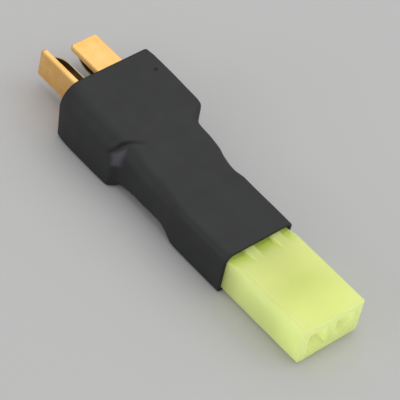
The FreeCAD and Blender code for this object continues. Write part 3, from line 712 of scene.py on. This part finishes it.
print("rings:", len(ring_places()), "with", len(ring_points(SLEEVE_START)), "points each")

# %% [markdown]
# Small forms make the skin look drawn on by heat. The front edge was cut at a slant,
# and the free neck, which nothing holds, is slightly uneven.

# %% Slanted edge and uneven neck
# the foot of the front edge lies so far back, and the slant fades over its reach
LIP_SLANT = 1.0
LIP_REACH = 4.0
PLUG_TOP = 9.0
NECK_START, NECK_END = -8.5, 4.5
NECK_UNEVEN = 0.07
NECK_BUMPS_PER_MM = 0.45


def lean_lip(point):
    """The foot of the front edge lies further back than its top."""
    share = max(0.0, 1 - (point.x - SLEEVE_START) / LIP_REACH)
    return point + Vector((LIP_SLANT * (1 - point.z / PLUG_TOP) * share, 0, 0))


def neck_depth(point):
    """Soft unevenness of the free stretch, zero where the sleeve is held."""
    share = (point.x - NECK_START) / (NECK_END - NECK_START)
    if not 0 < share < 1:
        return 0.0
    return NECK_UNEVEN * math.sin(math.pi * share) * (1 + noise_field.noise(point * NECK_BUMPS_PER_MM))


print("neck in mm: from", NECK_START, "to", NECK_END)

# %% [markdown]
# A pleat runs up from the near side and over the corner behind the plug. Under it the
# skin is stretched over a flat facet, which gets a painted sheen to look paler. The pleat
# could be a separate strip, but pressed into the skin it keeps the sleeve in one piece.

# %% Pleat and facet
PLEAT = [Vector(place) for place in (
    (-10.6, -8.55, 6.3), (-9.7, -8.4, 7.2), (-9.15, -7.3, 8.4), (-8.55, -5.8, 8.7), (-7.3, -3.6, 8.3))]
PLEAT_DEPTH = 0.2
PLEAT_WIDTH = 0.32
# the power of the sine that fades the pleat out at both ends
PLEAT_FADE = 0.7
FACET = [Vector(place) for place in (
    (-9.6, -8.6, 4.1), (-8.0, -7.55, 4.5), (-8.3, -6.6, 8.4), (-9.95, -8.5, 7.0))]
FACET_OUT = Vector((0.71, -0.68, 0.17))
FACET_EDGE = 0.75


def pleat_depth(point):
    """How far the pleat presses the skin inwards at a point; it fades out at both ends."""
    deepest = 0.0
    for index, (start, end) in enumerate(zip(PLEAT, PLEAT[1:])):
        along = min(max((point - start).dot(end - start) / (end - start).length_squared, 0.0), 1.0)
        away = (point - start.lerp(end, along)).length / PLEAT_WIDTH
        fade = math.sin(math.pi * (index + along) / (len(PLEAT) - 1)) ** PLEAT_FADE
        deepest = max(deepest, PLEAT_DEPTH * fade * math.exp(-away * away))
    return deepest


def facet_sheen_at(point):
    """1 on the facet under the pleat, where the stretched skin gets a painted sheen, and 0 off it."""
    sides = zip(FACET, FACET[1:] + FACET[:1])
    inside = min((point - start).dot(FACET_OUT.cross(end - start).normalized()) for start, end in sides)
    return min(max(inside / FACET_EDGE, 0.0), 1.0)


print("pleat in mm:", PLEAT_DEPTH, "deep and", PLEAT_WIDTH, "wide")

# %% [markdown]
# The skin joins the rings outside and inside, and closes at both cut edges. Each point
# of the outside also keeps its share of the facet's painted sheen and how deep it lies
# in the pleat, which the finish reads for its painted sheen and painted shade.

# %% Sleeve skin


def skin_between(form, first, second):
    """Faces between two rings of as many points."""
    for index in range(len(first)):
        following = (index + 1) % len(first)
        form.faces.new((first[index], first[following], second[following], second[index]))


def make_sleeve():
    """The sleeve as a closed skin: outside, inside and the two cut edges."""
    form = bmesh.new()
    stretch, fold = form.verts.layers.float.new("stretch"), form.verts.layers.float.new("fold")

    def outer_point(point, outward):
        depth = pleat_depth(point)
        made = form.verts.new(lean_lip(point - outward * (depth + neck_depth(point))) * MM)
        # the share of painted sheen on the facet, and the depth in the pleat for its painted shade
        made[stretch], made[fold] = facet_sheen_at(point), depth / PLEAT_DEPTH
        return made

    outside = [[outer_point(*pair) for pair in ring_points(x)] for x in ring_places()]
    inside = [[form.verts.new(lean_lip(point) * MM) for point, _ in ring_points(x, SLEEVE_WALL)]
              for x in ring_places()]
    for first, second in zip(outside, outside[1:]):
        skin_between(form, first, second)
    for first, second in zip(inside, inside[1:]):
        skin_between(form, second, first)
    skin_between(form, inside[0], outside[0])
    skin_between(form, outside[-1], inside[-1])
    bmesh.ops.recalc_face_normals(form, faces=form.faces)
    mesh = bpy.data.meshes.new("sleeve_skin")
    form.to_mesh(mesh)
    form.free()
    for face in mesh.polygons:
        face.use_smooth = True
    sleeve = bpy.data.objects.new("sleeve_skin", mesh)
    bpy.context.scene.collection.objects.link(sleeve)
    return sleeve


sleeve = make_sleeve()
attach(sleeve, "root")
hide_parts("shrink_sleeve")
print("sleeve faces:", len(sleeve.data.polygons))

# %% [markdown]
# ## Sleeve finish
# The sleeve is black polyolefin: matte, with a fine skin grain. A painted sheen makes it
# paler on the stretched facet, painted shade makes it darker in its pleat, and a small
# dark, dull spot of painted shade stands for a pit on top of the plug.

# %% Sleeve finish
SKIN_TINTS = [(0.3, (0.0135, 0.0142, 0.015)), (0.8, (0.019, 0.0198, 0.021))]
# painted sheen: the stretched facet is paler
FACET_SHEEN_TINT = (0.088, 0.084, 0.099)
# painted shade: darker in the pleat and in the pit
PAINTED_SHADE_TINT = (0.009, 0.009, 0.01)
SKIN_CLOUDS_PER_MM, SKIN_GRAIN_PER_MM = 0.35, 6.0
SKIN_RELIEF = (0.02, 0.35)
SKIN_ROUGHNESS = 0.6
SKIN_GLOSS, FOLD_GLOSS, PIT_GLOSS = 0.42, 0.2, (0.12, 0.12, 0.12)
# where the pit lies, in mm, and how far off it the skin is as elsewhere
PIT_PLACE, PIT_REACH = (-18.0, 6.6, 9.0), 0.55


def sleeve_finish():
    """Matte black polyolefin, with a painted sheen on the stretched facet and painted shade in its pleat and
    its pit.
    """
    material, tree, shader = new_finish("black_polyolefin")
    where = place_in_mm(tree)
    stretch, fold = [add_node(tree, "Attribute", attribute_name=name).outputs["Fac"]
                     for name in ("stretch", "fold")]
    tint = ramp(tree, noise(tree, where, SKIN_CLOUDS_PER_MM, detail=3.0), SKIN_TINTS)
    # painted sheen on the facet, then painted shade in the pleat
    tint = blend(tree, stretch, tint, FACET_SHEEN_TINT)
    tint = blend(tree, fold, tint, PAINTED_SHADE_TINT)
    # painted shade: a small dark, dull spot stands for a pit on top of the plug
    away = add_node(tree, "VectorMath", {1: PIT_PLACE}, operation="DISTANCE")
    tree.links.new(where, away.inputs[0])
    off_pit = part_of_span(tree, away.outputs["Value"], 0.0, PIT_REACH)
    tree.links.new(blend(tree, off_pit, PAINTED_SHADE_TINT, tint), shader.inputs["Base Color"])
    gloss = ramp(tree, fold, [(0.0, SKIN_GLOSS), (1.0, FOLD_GLOSS)])
    gloss = blend(tree, off_pit, PIT_GLOSS, gloss)
    shader.inputs["Specular IOR Level"].default_value = SKIN_GLOSS
    tree.links.new(gloss, shader.inputs["Specular IOR Level"])
    shader.inputs["Roughness"].default_value = SKIN_ROUGHNESS
    bump(tree, shader, noise(tree, where, SKIN_GRAIN_PER_MM, detail=3.0), SKIN_RELIEF)
    return material


sleeve.data.materials.append(sleeve_finish())
print("sleeve finished")
